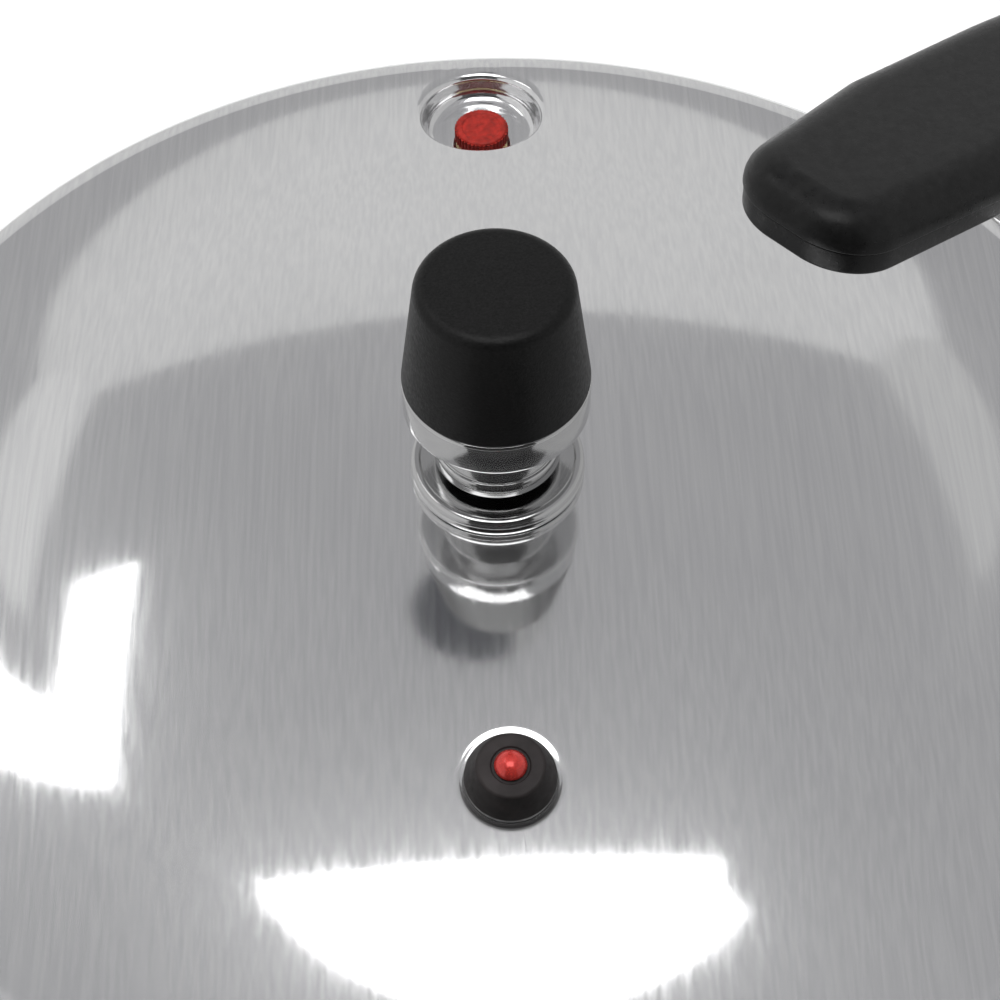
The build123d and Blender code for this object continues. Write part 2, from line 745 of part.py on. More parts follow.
def lid_handle_lower():
    upper_line = handle_top_line(upper_shell_depth)
    start = upper_line @ 0
    end = upper_line @ 1
    slope_start = lid_radius + handle_lid_gap
    lip_drop = upper_shell_depth + lower_lip_depth
    lower_line = Polyline(
        (start.X, apex + handle_tip_rise - lip_drop),
        (slope_start, apex + handle_rim_rise - lip_drop),
        (slope_start + handle_cheek_length, lid_handle_bottom),
        (end.X, lid_handle_bottom),
    )
    shell = lid_handle_slice(upper_line, lower_line, -lower_shell_inset)
    head, tip = lid_screw_span()
    for place in lid_screw_places:
        shell -= Pos(place, 0, 0) * screw_hole(lid_handle_bottom, head, tip)
    tongue_room = Pos(lid_tongue_end / 2, 0, lid_tongue_bottom + bracket_thickness / 2) * Box(
        lid_tongue_end, bracket_width, bracket_thickness
    )
    return shell - tongue_room - lid_handle_room()


def lid_bracket():
    strap = saddle_bracket(
        lid_radius, lid_saddle_bottom, lid_saddle_height, lid_tongue_bottom, lid_tongue_end, lid_screw_places
    )
    return strap - rivet_holes(lid_radius, lid_rivet_height)


def lid_handle_screws():
    head, tip = lid_screw_span()
    return Compound(children=[Pos(place, 0, 0) * screw(head, tip) for place in lid_screw_places])


pot_nodes = {
    "pot_body": pot_body(),
    "pot_bracket": pot_bracket(),
    "pot_rivets": rivets(pot_radius, pot_rivet_height),
    "pot_handle_upper": pot_handle_upper(),
    "pot_handle_lower": pot_handle_lower(),
    "pot_handle_screws": pot_handle_screws(),
    "helper_bracket": helper_bracket(),
    "helper_rivets": Rot(0, 0, 180) * rivets(pot_radius, pot_rivet_height),
    "helper_handle": helper_handle(),
    "helper_screw": helper_handle_screw(),
}

lid_nodes = {
    "lid_shell": lid_shell(),
    "lid_gasket": lid_gasket(),
    "lid_bracket": lid_bracket(),
    "lid_rivets": rivets(lid_radius, lid_rivet_height),
    "lid_handle_upper": lid_handle_upper(),
    "lid_handle_lower": lid_handle_lower(),
    "lid_handle_screws": lid_handle_screws(),
    "vent_pipe": vent_pipe(),
    "vent_washer": vent_washer(),
    "vent_nut": vent_nut(),
    "weight_body": weight_body(),
    "weight_cap": weight_cap(),
    "weight_needle": weight_needle(),
    "valve_rubber": valve_rubber(),
    "valve_pin": valve_pin(),
    "safety_bush": safety_bush(),
    "safety_washer": safety_washer(),
    "safety_nut": safety_nut(),
    "safety_button": safety_button(),
    "safety_spring": safety_spring(),
    "safety_clip": safety_clip(),
}

for name, shape in pot_nodes.items():
    export_step(shape, f"parts/{name}.step")

for name, shape in lid_nodes.items():
    export_step(Rot(0, 0, lid_open_angle) * shape, f"parts/{name}.step")
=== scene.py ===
from math import asin, cos, hypot, pi, radians, sin, sqrt, tan

import bmesh
import bpy
from mathutils import Matrix, Vector


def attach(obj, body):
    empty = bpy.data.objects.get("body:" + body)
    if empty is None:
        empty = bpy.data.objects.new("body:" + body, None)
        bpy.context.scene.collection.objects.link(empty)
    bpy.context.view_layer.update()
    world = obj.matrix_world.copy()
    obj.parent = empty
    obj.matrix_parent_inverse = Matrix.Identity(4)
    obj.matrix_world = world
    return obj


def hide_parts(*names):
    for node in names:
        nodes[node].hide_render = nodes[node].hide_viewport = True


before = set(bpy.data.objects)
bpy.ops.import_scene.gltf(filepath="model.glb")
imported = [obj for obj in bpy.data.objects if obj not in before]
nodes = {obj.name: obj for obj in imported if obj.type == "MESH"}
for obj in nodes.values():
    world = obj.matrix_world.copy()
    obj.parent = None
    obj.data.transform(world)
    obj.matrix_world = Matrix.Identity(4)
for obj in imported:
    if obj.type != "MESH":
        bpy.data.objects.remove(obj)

bpy.context.view_layer.update()
collection = bpy.context.scene.collection

# Pot body -----------------------------------------------------------------------------------------
# The pot is deep drawn from thick aluminium sheet and turned bright, so fine rings run around it.
# Six lugs stand out from its rolled rim and hold the lid once it is turned.


def rounded(corners, steps=6):
    """The outline through corners given as (radius, height, rounding), in millimetres."""
    outline = []
    for number, (x, y, size) in enumerate(corners):
        here = Vector((x, y))
        if size == 0:
            outline.append(here)
            continue
        back = (Vector(corners[number - 1][:2]) - here).normalized()
        ahead = (Vector(corners[(number + 1) % len(corners)][:2]) - here).normalized()
        half_angle = back.angle(ahead) / 2
        centre = here + (back + ahead).normalized() * size / sin(half_angle)
        start = here + back * size / tan(half_angle) - centre
        end = here + ahead * size / tan(half_angle) - centre
        sweep = pi - 2 * half_angle
        for step in range(steps + 1):
            part = step / steps
            weights = sin((1 - part) * sweep), sin(part * sweep)
            outline.append(centre + (start * weights[0] + end * weights[1]) / sin(sweep))
    return outline


def turned_mesh(outline_at, angles, place=Matrix()):
    """A closed solid of revolution; outline_at gives its outline, in millimetres, at an angle in radians."""
    mesh = bmesh.new()
    rings = []
    count = len(outline_at(0))
    for index in range(count):
        if outline_at(0)[index].x < 1e-6:
            rings.append([mesh.verts.new(place @ Vector((0, 0, outline_at(0)[index].y)) * 0.001)])
            continue
        ring = []
        for angle in angles:
            point = outline_at(angle)[index]
            corner = Vector((point.x * cos(angle), point.x * sin(angle), point.y))
            ring.append(mesh.verts.new(place @ corner * 0.001))
        rings.append(ring)
    for first, second in zip(rings, rings[1:] + rings[:1]):
        join_rings(mesh, first, second)
    return mesh


def join_rings(mesh, first, second):
    """Faces between two rings of corners; a ring of one corner makes a fan."""
    if len(first) == 1 and len(second) == 1:
        return
    count = max(len(first), len(second))
    for index in range(count):
        after = (index + 1) % count
        corners = [first[index % len(first)], first[after % len(first)]]
        corners += [second[after % len(second)], second[index % len(second)]]
        mesh.faces.new(list(dict.fromkeys(corners)))


def even_angles(count):
    return [2 * pi * step / count for step in range(count)]


def turned(corners, place=Matrix(), count=128, steps=6):
    outline = rounded(corners, steps)
    return turned_mesh(lambda angle: outline, even_angles(count), place)


def finished(name, mesh, material, crease=38):
    """Turns a mesh into an object with smooth faces and creases at its sharp edges."""
    bmesh.ops.recalc_face_normals(mesh, faces=mesh.faces)
    for face in mesh.faces:
        face.smooth = True
    data = bpy.data.meshes.new(name)
    mesh.to_mesh(data)
    mesh.free()
    data.set_sharp_from_angle(angle=radians(crease))
    data.materials.append(material)
    piece = bpy.data.objects.new(name, data)
    collection.objects.link(piece)
    return piece


def plain_material(name, colour, roughness, metallic=0.0):
    material = bpy.data.materials.new(name)
    material.use_nodes = True
    shader = material.node_tree.nodes["Principled BSDF"]
    shader.inputs["Base Color"].default_value = (*colour, 1)
    shader.inputs["Roughness"].default_value = roughness
    shader.inputs["Metallic"].default_value = metallic
    return material


def object_noise(material, scale, stretch=(1, 1, 1), turn=0.0, detail=3.0):
    """Noise laid through a piece in its own coordinates, stretched along chosen directions."""
    tree = material.node_tree
    where = tree.nodes.new("ShaderNodeTexCoord")
    turned_where = tree.nodes.new("ShaderNodeVectorRotate")
    turned_where.rotation_type = "Z_AXIS"
    turned_where.inputs["Angle"].default_value = turn
    mapping = tree.nodes.new("ShaderNodeMapping")
    mapping.inputs["Scale"].default_value = stretch
    noise = tree.nodes.new("ShaderNodeTexNoise")
    noise.inputs["Scale"].default_value = scale
    noise.inputs["Detail"].default_value = detail
    tree.links.new(where.outputs["Object"], turned_where.inputs["Vector"])
    tree.links.new(turned_where.outputs["Vector"], mapping.inputs["Vector"])
    tree.links.new(mapping.outputs["Vector"], noise.inputs["Vector"])
    return noise.outputs["Fac"]


def ring_noise(material, scale, detail=3.0):
    """Noise that depends only on distance from the Z axis and on height, as a lathe leaves it."""
    tree = material.node_tree
    where = tree.nodes.new("ShaderNodeTexCoord")
    split = tree.nodes.new("ShaderNodeSeparateXYZ")
    flat = tree.nodes.new("ShaderNodeCombineXYZ")
    radius = tree.nodes.new("ShaderNodeVectorMath")
    radius.operation = "LENGTH"
    lathe = tree.nodes.new("ShaderNodeCombineXYZ")
    noise = tree.nodes.new("ShaderNodeTexNoise")
    noise.inputs["Scale"].default_value = scale
    noise.inputs["Detail"].default_value = detail
    tree.links.new(where.outputs["Object"], split.inputs["Vector"])
    tree.links.new(split.outputs["X"], flat.inputs["X"])
    tree.links.new(split.outputs["Y"], flat.inputs["Y"])
    tree.links.new(flat.outputs["Vector"], radius.inputs[0])
    tree.links.new(radius.outputs["Value"], lathe.inputs["X"])
    tree.links.new(split.outputs["Z"], lathe.inputs["Z"])
    tree.links.new(lathe.outputs["Vector"], noise.inputs["Vector"])
    return noise.outputs["Fac"]


def ranged(material, source, low, high, start=0.3, end=0.7):
    """The source, taken from start..end to low..high."""
    convert = material.node_tree.nodes.new("ShaderNodeMapRange")
    convert.inputs["From Min"].default_value = start
    convert.inputs["From Max"].default_value = end
    convert.inputs["To Min"].default_value = low
    convert.inputs["To Max"].default_value = high
    material.node_tree.links.new(source, convert.inputs["Value"])
    return convert.outputs["Result"]


def vary(material, source, low, high, socket="Roughness", start=0.3, end=0.7):
    shader = material.node_tree.nodes["Principled BSDF"]
    value = ranged(material, source, low, high, start, end)
    material.node_tree.links.new(value, shader.inputs[socket])


def tint(material, source, dark, light, start=0.3, end=0.7):
    """Colour between dark and light, following the source."""
    tree = material.node_tree
    mix = tree.nodes.new("ShaderNodeMix")
    mix.data_type = "RGBA"
    mix.inputs["A"].default_value = (*dark, 1)
    mix.inputs["B"].default_value = (*light, 1)
    tree.links.new(ranged(material, source, 0, 1, start, end), mix.inputs["Factor"])
    tree.links.new(mix.outputs["Result"], tree.nodes["Principled BSDF"].inputs["Base Color"])


def bump(material, source, depth, strength=1.0):
    """Relief of the given depth in metres, added over any relief the material has already."""
    tree = material.node_tree
    shader = tree.nodes["Principled BSDF"]
    relief = tree.nodes.new("ShaderNodeBump")
    relief.inputs["Strength"].default_value = strength
    relief.inputs["Distance"].default_value = depth
    tree.links.new(source, relief.inputs["Height"])
    if shader.inputs["Normal"].is_linked:
        tree.links.new(shader.inputs["Normal"].links[0].from_socket, relief.inputs["Normal"])
    tree.links.new(relief.outputs["Normal"], shader.inputs["Normal"])


sheet = 2.5
pot_bore = 107
pot_height = 130
pot_base = 4
base_round = 14
rim_radius = 112
rim_depth = 3
lug_count = 6
lug_reach = 5.0
lug_half_arc = radians(12)
lug_pitch = radians(360 / lug_count)
lug_corner = 0.9
lug_corner_step = 0.15


def lug_angles(count=360):
    """Even angles, with close pairs either side of every lug's ends."""
    angles = set(even_angles(count))
    for number in range(lug_count):
        for side in (-1, 1):
            for step in range(7):
                from_middle = lug_half_arc - radians(lug_corner_step * step)
                angles.add((number * lug_pitch + side * from_middle) % (2 * pi))
    return sorted(angles)


def lug_share(angle):
    """1 on a lug, 0 between lugs, with a rounded corner at the lug's end."""
    from_middle = abs((angle + lug_pitch / 2) % lug_pitch - lug_pitch / 2)
    along = (lug_half_arc - from_middle) / radians(lug_corner)
    along = max(0.0, min(1.0, along))
    return sqrt(1 - (1 - along) ** 2)


def pot_outline(angle):
    """The pot's wall, base and rim at an angle; the rim stands out further on a lug."""
    rim = rim_radius + lug_reach * lug_share(angle)
    return rounded(
        [
            (0, 0, 0),
            (pot_bore + sheet, 0, base_round),
            (pot_bore + sheet, pot_height - rim_depth, 0.3),
            (rim, pot_height - rim_depth, 0.5),
            (rim, pot_height, 1.0),
            (pot_bore, pot_height, 1.0),
            (pot_bore, pot_base, base_round - sheet),
            (0, pot_base, 0),
        ]
    )


pot_metal = plain_material("pot_aluminium", (0.86, 0.86, 0.87), 0.2, 1.0)
vary(pot_metal, ring_noise(pot_metal, 900), 0.16, 0.28)
tint(pot_metal, object_noise(pot_metal, 30), (0.82, 0.82, 0.83), (0.9, 0.9, 0.9))
bump(pot_metal, ring_noise(pot_metal, 2500), 0.00001)
pot_piece = finished("pot_wall", turned_mesh(pot_outline, lug_angles()), pot_metal)
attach(pot_piece, "pot")
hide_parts("pot_body")

# Lid shell ----------------------------------------------------------------------------------------
# The lid is one pressing of the same sheet, polished to a mirror with fine straight marks left by the wheel.
# A round dish near its edge holds the safety button, and a hole on the other side takes the rubber valve.
lid_turn = radians(30)
apex = 158.2236
crown_sphere = 355.0
crown_edge = 80.5
ledge_radius = 112.5
edge_slope = asin(crown_edge / crown_sphere)
blend_sphere = (ledge_radius - crown_edge) / sin(edge_slope)
ledge_top = apex - (crown_sphere + blend_sphere) * (1 - cos(edge_slope))
shoulder = 8.0
lid_radius = 120.5
skirt_bottom = 123.4
lug_top = 126.4
inner_lug_radius = 112.6
vent_hole = 5.05
valve_hole = 4.65
bush_hole = 3.55
crown_rings = 56
dish_edge_margin = 8.7
dish_bearing = radians(46.5)
button_offset = 1.5
dish_radius = 11.5
dish_depth = 5.6
dish_rim = 0.28 * dish_depth
dish_corner = 0.5 * dish_depth
dish_floor = ledge_top - dish_depth
dish_lip = dish_radius + dish_rim
dish_boss = dish_radius + sheet
dish_line = lid_turn + dish_bearing
dish_reach = lid_radius - dish_edge_margin - dish_radius - dish_rim
button_reach = dish_reach - button_offset
valve_reach = 56.7
valve_tilt = asin(valve_reach / crown_sphere)
dish_centre = Vector((cos(dish_line), sin(dish_line))) * dish_reach
button_centre = Vector((cos(dish_line), sin(dish_line))) * button_reach
valve_centre = Vector((-cos(dish_line), -sin(dish_line))) * valve_reach


def dome_height(radius):
    """Height of the lid's outer surface: crown, flare and shoulder."""
    if radius < crown_edge:
        return apex - crown_sphere + sqrt(crown_sphere**2 - radius**2)
    if radius < ledge_radius:
        return ledge_top + blend_sphere - sqrt(blend_sphere**2 - (ledge_radius - radius) ** 2)
    return ledge_top - shoulder + sqrt(shoulder**2 - (radius - ledge_radius) ** 2)


def under_height(radius):
    """Height of the lid's inner surface."""
    if radius < ledge_radius:
        return dome_height(radius) - sheet
    return ledge_top - shoulder + sqrt((shoulder - sheet) ** 2 - (radius - ledge_radius) ** 2)


def dome_normal(x, y):
    radius = hypot(x, y)
    if radius < crown_edge:
        slope = -radius / sqrt(crown_sphere**2 - radius**2)
    elif radius < ledge_radius:
        slope = -(ledge_radius - radius) / sqrt(blend_sphere**2 - (ledge_radius - radius) ** 2)
    else:
        slope = -(radius - ledge_radius) / sqrt(shoulder**2 - (radius - ledge_radius) ** 2)
    return Vector((-slope * x / radius, -slope * y / radius, 1)).normalized()


def circle(mesh, centre, radius, height_at, count=96):
    ring = []
    for angle in even_angles(count):
        x, y = centre.x + radius * cos(angle), centre.y + radius * sin(angle)
        ring.append(mesh.verts.new((x, y, height_at(x, y))))
    return ring


def crown_face(mesh, height_at, shoulder_radii, patches, angles):
    """One face of the crown, with a clear circle left for every (centre, radius) patch.
    Gives back its outer ring, its inner ring and the ring of corners around each circle."""
    width = ledge_radius - vent_hole
    radii = [vent_hole + width * step / crown_rings for step in range(crown_rings + 1)]
    radii += shoulder_radii
    rings = []
    for radius in radii:
        rings.append([mesh.verts.new((radius * cos(a), radius * sin(a), height_at(radius))) for a in angles])
    made = []
    for inner, outer in zip(rings, rings[1:]):
        for index in range(len(angles)):
            after = (index + 1) % len(angles)
            corners = [inner[index], inner[after], outer[after], outer[index]]
            if all((v.co.xy - centre).length > size + 0.4 for v in corners for centre, size in patches):
                made.append(mesh.faces.new(corners))
    edge_rings = []
    for centre, size in patches:
        ring = circle(mesh, centre, size, lambda x, y: height_at(hypot(x, y)))
        loop = [mesh.edges.new((ring[i - 1], ring[i])) for i in range(len(ring))]
        border = []
        for edge in (edge for face in made for edge in face.edges):
            near = all((v.co.xy - centre).length < size + 7 for v in edge.verts)
            inside = any(vent_hole + 1 < v.co.xy.length < radii[-1] - 0.1 for v in edge.verts)
            if near and inside and len(edge.link_faces) == 1:
                border.append(edge)
        bmesh.ops.triangle_fill(mesh, use_beauty=True, edges=border + loop, normal=(0, 0, 1))
        edge_rings.append(ring)
    return rings[-1], rings[0], edge_rings


def on_dome(x, y):
    return dome_height(hypot(x, y))


def quarter(step, steps=8):
    return step / steps * pi / 2


def lid_dish(mesh, top_ring, under_ring):
    """The dish's lip, wall and floor, outside and then inside, joined at the bush's hole."""
    rows = [circle(mesh, dish_centre, size, on_dome) for size in (dish_lip + 0.7, dish_lip)]
    for step in range(1, 9):
        size = dish_radius + dish_rim * (1 - sin(quarter(step)))
        fall = dish_rim * (1 - cos(quarter(step)))
        rows.append(circle(mesh, dish_centre, size, lambda x, y: on_dome(x, y) - fall))
    for step in range(9):
        size = dish_radius - dish_corner * (1 - cos(quarter(step)))
        level = dish_floor + dish_corner * (1 - sin(quarter(step)))
        rows.append(circle(mesh, dish_centre, size, lambda x, y: level))
    rows.append(circle(mesh, dish_centre.lerp(button_centre, 0.4), 6.5, lambda x, y: dish_floor))
    rows.append(circle(mesh, button_centre, bush_hole, lambda x, y: dish_floor))
    for first, second in zip([top_ring] + rows, rows):
        join_rings(mesh, first, second)
    under = [circle(mesh, dish_centre, dish_boss, lambda x, y: under_height(hypot(x, y)) - 0.4)]
    corner = dish_corner + sheet
    for step in range(9):
        size = dish_boss - corner * (1 - cos(quarter(step)))
        level = dish_floor - sheet + corner * (1 - sin(quarter(step)))
        level = min(level, under_height(dish_reach + dish_boss) - 0.5)
        under.append(circle(mesh, dish_centre, size, lambda x, y: level))
    under.append(circle(mesh, button_centre, bush_hole, lambda x, y: dish_floor - sheet))
    for first, second in zip([under_ring] + under, under):
        join_rings(mesh, first, second)
    join_rings(mesh, rows[-1], under[-1])


def valve_seat(mesh, top_ring, under_ring):
    """A shallow seat pressed around the rubber valve's hole."""
    seat = [top_ring]
    for size, depth in ((8.2, 0.03), (7.8, 0.14), (7.4, 0.27), (6.9, 0.3), (valve_hole, 0.3)):
        seat.append(circle(mesh, valve_centre, size, lambda x, y: on_dome(x, y) - depth))
    for first, second in zip(seat, seat[1:]):
        join_rings(mesh, first, second)
    join_rings(mesh, seat[-1], under_ring)


def skirt_outline(angle, first_radius, last_radius):
    """The shoulder, the skirt and its inward lug, from the crown's outer face round to its inner face."""
    bore = lid_radius - sheet
    lug = max(0.02, (bore - inner_lug_radius) * lug_share(angle))
    outline = []
    start = asin((first_radius - ledge_radius) / shoulder)
    for step in range(1, 8):
        part = start + step / 7 * (pi / 2 - start)
        along = ledge_radius + shoulder * sin(part)
        outline.append(Vector((along, ledge_top - shoulder * (1 - cos(part)))))
    outline += rounded(
        [
            (lid_radius, ledge_top - 9, 0),
            (lid_radius, skirt_bottom, 0.8),
            (bore - lug, skirt_bottom, 0.8),
            (bore - lug, lug_top, min(0.6, 0.4 * lug)),
            (bore, lug_top, min(0.2, 0.4 * lug)),
            (bore, ledge_top - shoulder, 0),
        ],
        4,
    )[1:]
    bend = shoulder - sheet
    end = asin((last_radius - ledge_radius) / bend)
    for step in range(1, 4):
        part = pi / 2 - step / 4 * (pi / 2 - end)
        along = ledge_radius + bend * sin(part)
        outline.append(Vector((along, ledge_top - shoulder + bend * cos(part))))
    return outline


def lid_mesh():
    mesh = bmesh.new()
    angles = lug_angles(300)
    turned_angles = [angle + lid_turn for angle in angles]
    outer_radii = [113.9, 115.1, 116.4, 117.8, 118.9]
    patches = [(dish_centre, dish_lip + 1.5), (valve_centre, 8.6)]
    top_edge, top_middle, top_rings = crown_face(
        mesh, dome_height, outer_radii, patches, turned_angles
    )
    inner_radii = [113.9, 115.0, 116.0, 117.0, 117.6]
    patches = [(dish_centre, dish_boss + 0.6), (valve_centre, valve_hole)]
    under_edge, under_middle, under_rings = crown_face(
        mesh, under_height, inner_radii, patches, turned_angles
    )
    lid_dish(mesh, top_rings[0], under_rings[0])
    valve_seat(mesh, top_rings[1], under_rings[1])
    join_rings(mesh, top_middle, under_middle)
    rows = []
    for angle, turn in zip(angles, turned_angles):
        outline = skirt_outline(angle, outer_radii[-1], inner_radii[-1])
        rows.append([mesh.verts.new((p.x * cos(turn), p.x * sin(turn), p.y)) for p in outline])
    rings = [list(ring) for ring in zip(*rows)]
    for first, second in zip([top_edge] + rings, rings + [under_edge]):
        join_rings(mesh, first, second)
    loose = [vert for vert in mesh.verts if not vert.link_faces]
    bmesh.ops.delete(mesh, geom=loose, context="VERTS")
    for vert in mesh.verts:
        vert.co *= 0.001
    return mesh


def add_haze(material, share, roughness):
    """Mixes in a second, broader reflection, as polished metal with fine wheel marks has."""
    tree = material.node_tree
    shader = tree.nodes["Principled BSDF"]
    haze = tree.nodes.new("ShaderNodeBsdfAnisotropic")
    haze.inputs["Roughness"].default_value = roughness
    haze.inputs["Color"].default_value = shader.inputs["Base Color"].default_value
    mix = tree.nodes.new("ShaderNodeMixShader")
    mix.inputs["Fac"].default_value = share
    tree.links.new(shader.outputs["BSDF"], mix.inputs[1])
    tree.links.new(haze.outputs["BSDF"], mix.inputs[2])
    tree.links.new(mix.outputs["Shader"], tree.nodes["Material Output"].inputs["Surface"])


lid_metal = plain_material("lid_aluminium", (0.9, 0.9, 0.905), 0.07, 1.0)
along_brush = (1, 0.02, 1)
brush_turn = radians(14)
vary(lid_metal, object_noise(lid_metal, 900, along_brush, brush_turn, 4), 0.05, 0.11)
wheel_marks = object_noise(lid_metal, 1400, along_brush, brush_turn, 6)
tint(lid_metal, wheel_marks, (0.84, 0.84, 0.85), (0.93, 0.93, 0.93), 0.35, 0.65)
bump(lid_metal, object_noise(lid_metal, 4000, along_brush, brush_turn), 0.0000008)
add_haze(lid_metal, 0.22, 0.32)
lid_piece = finished("lid_sheet", lid_mesh(), lid_metal)
crown_normals = []
for vert in lid_piece.data.vertices:
    x, y, z = vert.co * 1000
    on_crown = 6 < hypot(x, y) < 119
    clear_of_dish = hypot(x - dish_centre.x, y - dish_centre.y) > dish_lip + 0.1
    if on_crown and clear_of_dish and abs(z - dome_height(hypot(x, y))) < 1e-2:
        crown_normals.append(dome_normal(x, y))
    else:
        crown_normals.append(Vector((0, 0, 0)))
lid_piece.data.normals_split_custom_set_from_vertices(crown_normals)
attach(lid_piece, "lid")
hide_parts("lid_shell")

# Vent pipe ----------------------------------------------------------------------------------------
# A turned and plated pipe through the top of the lid. Its broad flange has a bead around the edge,
# and the weight stands on its tip; the thread below takes the nut inside the lid.


def chrome(name, roughness, shade):
    material = plain_material(name, (shade, shade, shade), roughness, 1.0)
    vary(material, ring_noise(material, 2600), roughness * 0.7, roughness * 1.5)
    tint(material, object_noise(material, 160), (shade * 0.93,) * 3, (shade,) * 3)
    bump(material, ring_noise(material, 5200), 0.000004)
    return material


vent_metal = chrome("vent_chrome", 0.1, 0.62)
lid_top = Matrix.Translation((0, 0, apex))
pipe_bore = 1.3
pipe_radius = 4.5
pipe_top = 17
thread_radius = 5
thread_end = -14
flange_radius = 14.2
flange_top = 3.1
vent_corners = [
    (pipe_bore, thread_end, 0),
    (thread_radius, thread_end, 0.6),
    (thread_radius, 0, 0),
    (flange_radius, 0, 0.3),
    (14.4, 0.9, 0.3),
    (13.9, 1.25, 0.2),
    (14.3, 1.6, 0.3),
    (flange_radius, flange_top, 1.0),
    (12.9, flange_top, 0.3),
    (12.6, 2.9, 0.3),
    (pipe_radius, 2.9, 0.8),
    (pipe_radius, pipe_top, 0.4),
    (2.9, pipe_top, 0.2),
    (pipe_bore, 15.4, 0.2),
]
vent_piece = finished("vent_pipe_turned", turned(vent_corners, lid_top, 160), vent_metal)
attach(vent_piece, "lid")
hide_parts("vent_pipe")

# Pressure weight ----------------------------------------------------------------------------------
# A heavy turned brass body, chrome plated: a stepped neck that hides the vent pipe and a broad
# polished collar. It lifts off by hand and rocks on the pipe when the pressure is up.
weight_metal = chrome("weight_chrome", 0.07, 0.6)
weight_bore = 6
weight_bore_top = 18
neck_radius = 9.8
neck_step_radius = 10.4
neck_bottom, neck_step_top = 4.6, 7.9
collar_radius = 15
collar_bottom, collar_top = 16.4, 23
core_radius, core_top = 8.5, 36
weight_corners = [
    (weight_bore, neck_bottom, 0.4),
    (neck_step_radius, neck_bottom, 0.5),
    (neck_step_radius, neck_step_top, 0.4),
    (neck_radius, neck_step_top, 0.15),
    (neck_radius, collar_bottom, 0.4),
    (collar_radius, collar_bottom, 0.9),
    (collar_radius, collar_top, 0.7),
    (core_radius, collar_top, 0.2),
    (core_radius, core_top, 0.4),
    (0, core_top, 0),
    (0, weight_bore_top, 0),
    (weight_bore, weight_bore_top, 0.4),
]
weight_piece = finished("weight_turned", turned(weight_corners, lid_top, 160), weight_metal)
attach(weight_piece, "weight")
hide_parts("weight_body")

# Weight cap ---------------------------------------------------------------------------------------
# A moulded heat-proof plastic cap pressed over the weight so it can be lifted while hot.
# Its surface is left finely eroded, so it is matt with a soft sheen at the rounded edge.
cap_plastic = plain_material("cap_black", (0.006, 0.006, 0.006), 0.42)
cap_plastic.node_tree.nodes["Principled BSDF"].inputs["Specular IOR Level"].default_value = 0.2
vary(cap_plastic, object_noise(cap_plastic, 1500), 0.36, 0.5)
tint(cap_plastic, object_noise(cap_plastic, 2400), (0.002, 0.002, 0.002), (0.006, 0.006, 0.006))
bump(cap_plastic, object_noise(cap_plastic, 2600, detail=2), 0.00006, 0.6)
cap_top = 44.2
cap_top_radius = 12.3
cap_bore = 8.55
cap_corners = [
    (cap_bore, collar_top, 0.2),
    (collar_radius, collar_top, 0.5),
    (cap_top_radius, cap_top, 2.2),
    (0, cap_top, 0),
    (0, core_top, 0),
    (cap_bore, core_top, 0.2),
]
cap_piece = finished("weight_cap_moulded", turned(cap_corners, lid_top, 160, 8), cap_plastic)
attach(cap_piece, "weight")
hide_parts("weight_cap")

# Rubber valve -------------------------------------------------------------------------------------
# A soft plug moulded in black rubber, pushed through a hole in the lid like a grommet.
# It is the second safety valve: it blows out if the first ones are blocked.
valve_place = (
    Matrix.Rotation(dish_line + pi, 4, "Z")
    @ Matrix.Translation((0, 0, apex - crown_sphere))
    @ Matrix.Rotation(valve_tilt, 4, "Y")
    @ Matrix.Translation((0, 0, crown_sphere))
)
valve_rubber = plain_material("valve_rubber", (0.012, 0.01, 0.01), 0.5)
valve_rubber.node_tree.nodes["Principled BSDF"].inputs["Specular IOR Level"].default_value = 0.25
vary(valve_rubber, object_noise(valve_rubber, 900), 0.48, 0.64)
tint(valve_rubber, object_noise(valve_rubber, 260), (0.009, 0.0075, 0.0075), (0.018, 0.015, 0.015))
bump(valve_rubber, object_noise(valve_rubber, 1800), 0.00003, 0.5)
pin_hole = 1.58
plug_bottom, plug_top = -6.6, 5.1
plug_waist = 4.6
plug_foot = 7.1
seat_level = -0.3
valve_corners = [
    (pin_hole, plug_bottom, 0.1),
    (5.6, plug_bottom, 0.4),
    (7.6, -2.65, 0.3),
    (plug_waist, -2.62, 0.1),
    (plug_waist, seat_level, 0.1),
    (plug_foot, seat_level, 0.15),
    (plug_foot, 0.6, 0.3),
    (5.2, plug_top, 0.7),
    (3.1, plug_top, 0.15),
    (2.9, 4.85, 0.1),
    (pin_hole, 4.85, 0.1),
]
valve_piece = finished("valve_plug", turned(valve_corners, valve_place, 96), valve_rubber)
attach(valve_piece, "lid")
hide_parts("valve_rubber")

